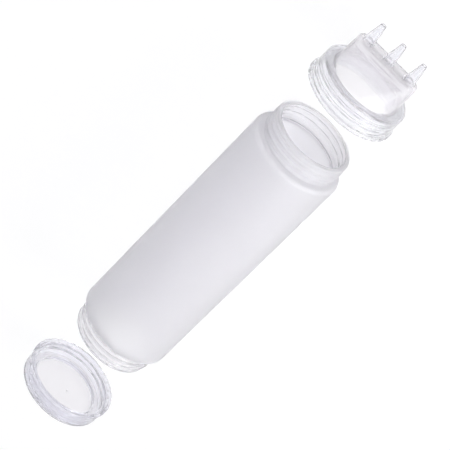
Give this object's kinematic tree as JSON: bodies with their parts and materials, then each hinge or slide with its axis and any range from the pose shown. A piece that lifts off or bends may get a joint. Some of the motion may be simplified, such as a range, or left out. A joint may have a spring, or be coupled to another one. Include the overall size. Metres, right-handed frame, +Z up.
{
  "type": "squeeze sauce dispenser",
  "caption": "Double-ended squeeze bottle laid out open: translucent cylinder with a screw neck at each end, a nozzle-row cap and a flat bottom cap.",
  "frame": {"origin": "on the table, under the middle of the laid-out row of pieces", "axes": "+X along the bottle's axis towards the nozzles, +Y along the row of nozzles, +Z up from the table"},
  "size_m": [0.3828, 0.0698, 0.0699],
  "materials": {
    "squeeze_plastic": "frosted translucent polyethylene, flexible",
    "cap_plastic": "smooth clear to milky moulded plastic",
    "seal_silicone": "smooth milky silicone"
  },
  "bodies": {
    "bottle": {"bottle_body": "squeeze_plastic"},
    "nozzle_seal": {"nozzle_gasket": "seal_silicone"},
    "nozzle_cap": {"nozzle_cap": "cap_plastic"},
    "bottom_seal": {"bottom_gasket": "seal_silicone"},
    "bottom_cap": {"bottom_cap": "cap_plastic"}
  },
  "joints": [
    {"name": "nozzle_cap_travel", "type": "slide", "parent": "bottle", "child": "nozzle_seal", "axis": [1, 0, 0], "range_m": [-0.05, 0]},
    {"name": "nozzle_cap_turn", "type": "hinge", "parent": "nozzle_seal", "child": "nozzle_cap", "pos_m": [0.1515, 0, 0.03494], "axis": [1, 0, 0], "range_deg": [-4090, 0]},
    {"name": "bottom_cap_travel", "type": "slide", "parent": "bottle", "child": "bottom_seal", "axis": [1, 0, 0], "range_m": [0, 0.0598]},
    {"name": "bottom_cap_turn", "type": "hinge", "parent": "bottom_seal", "child": "bottom_cap", "pos_m": [-0.1887, 0, 0.03494], "axis": [1, 0, 0], "range_deg": [0, 4890]}
  ],
  "couplings": [
    {"joint": "nozzle_cap_travel", "follows": "nozzle_cap_turn", "m_per_rad": 0.00070028},
    {"joint": "bottom_cap_travel", "follows": "bottom_cap_turn", "m_per_rad": 0.00070028}
  ]
}
